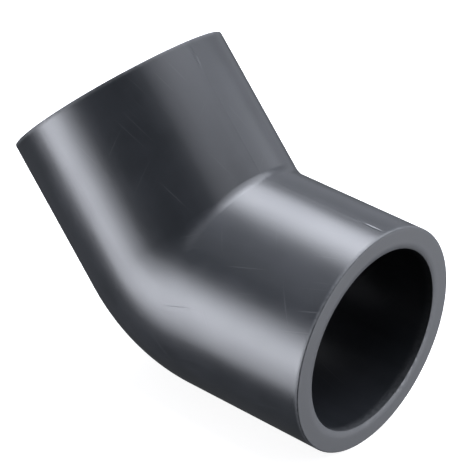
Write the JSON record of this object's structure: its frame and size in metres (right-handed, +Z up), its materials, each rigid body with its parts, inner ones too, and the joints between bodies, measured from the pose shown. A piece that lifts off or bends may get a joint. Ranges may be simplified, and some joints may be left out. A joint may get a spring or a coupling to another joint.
{
  "type": "pvc elbow fitting",
  "caption": "Plain rigid pipe elbow that turns the flow by 45 degrees, with a blind glue socket at each end and a narrower waterway between.",
  "frame": {"origin": "under the middle of the fitting's box, on the surface that leg A's underside touches; the two socket axes cross 15.6 mm above it and 1.589 mm towards +X", "axes": "+X along leg A's socket axis, out of its mouth; leg B's socket axis points along (-0.7071, 0, 0.7071); the bend lies in the XZ plane; +Z up"},
  "size_m": [0.0564, 0.0312, 0.0454],
  "materials": {
    "pvc_dark_grey": "satin moulded PVC-U"
  },
  "bodies": {
    "root": {"elbow_body": "pvc_dark_grey"}
  },
  "joints": []
}
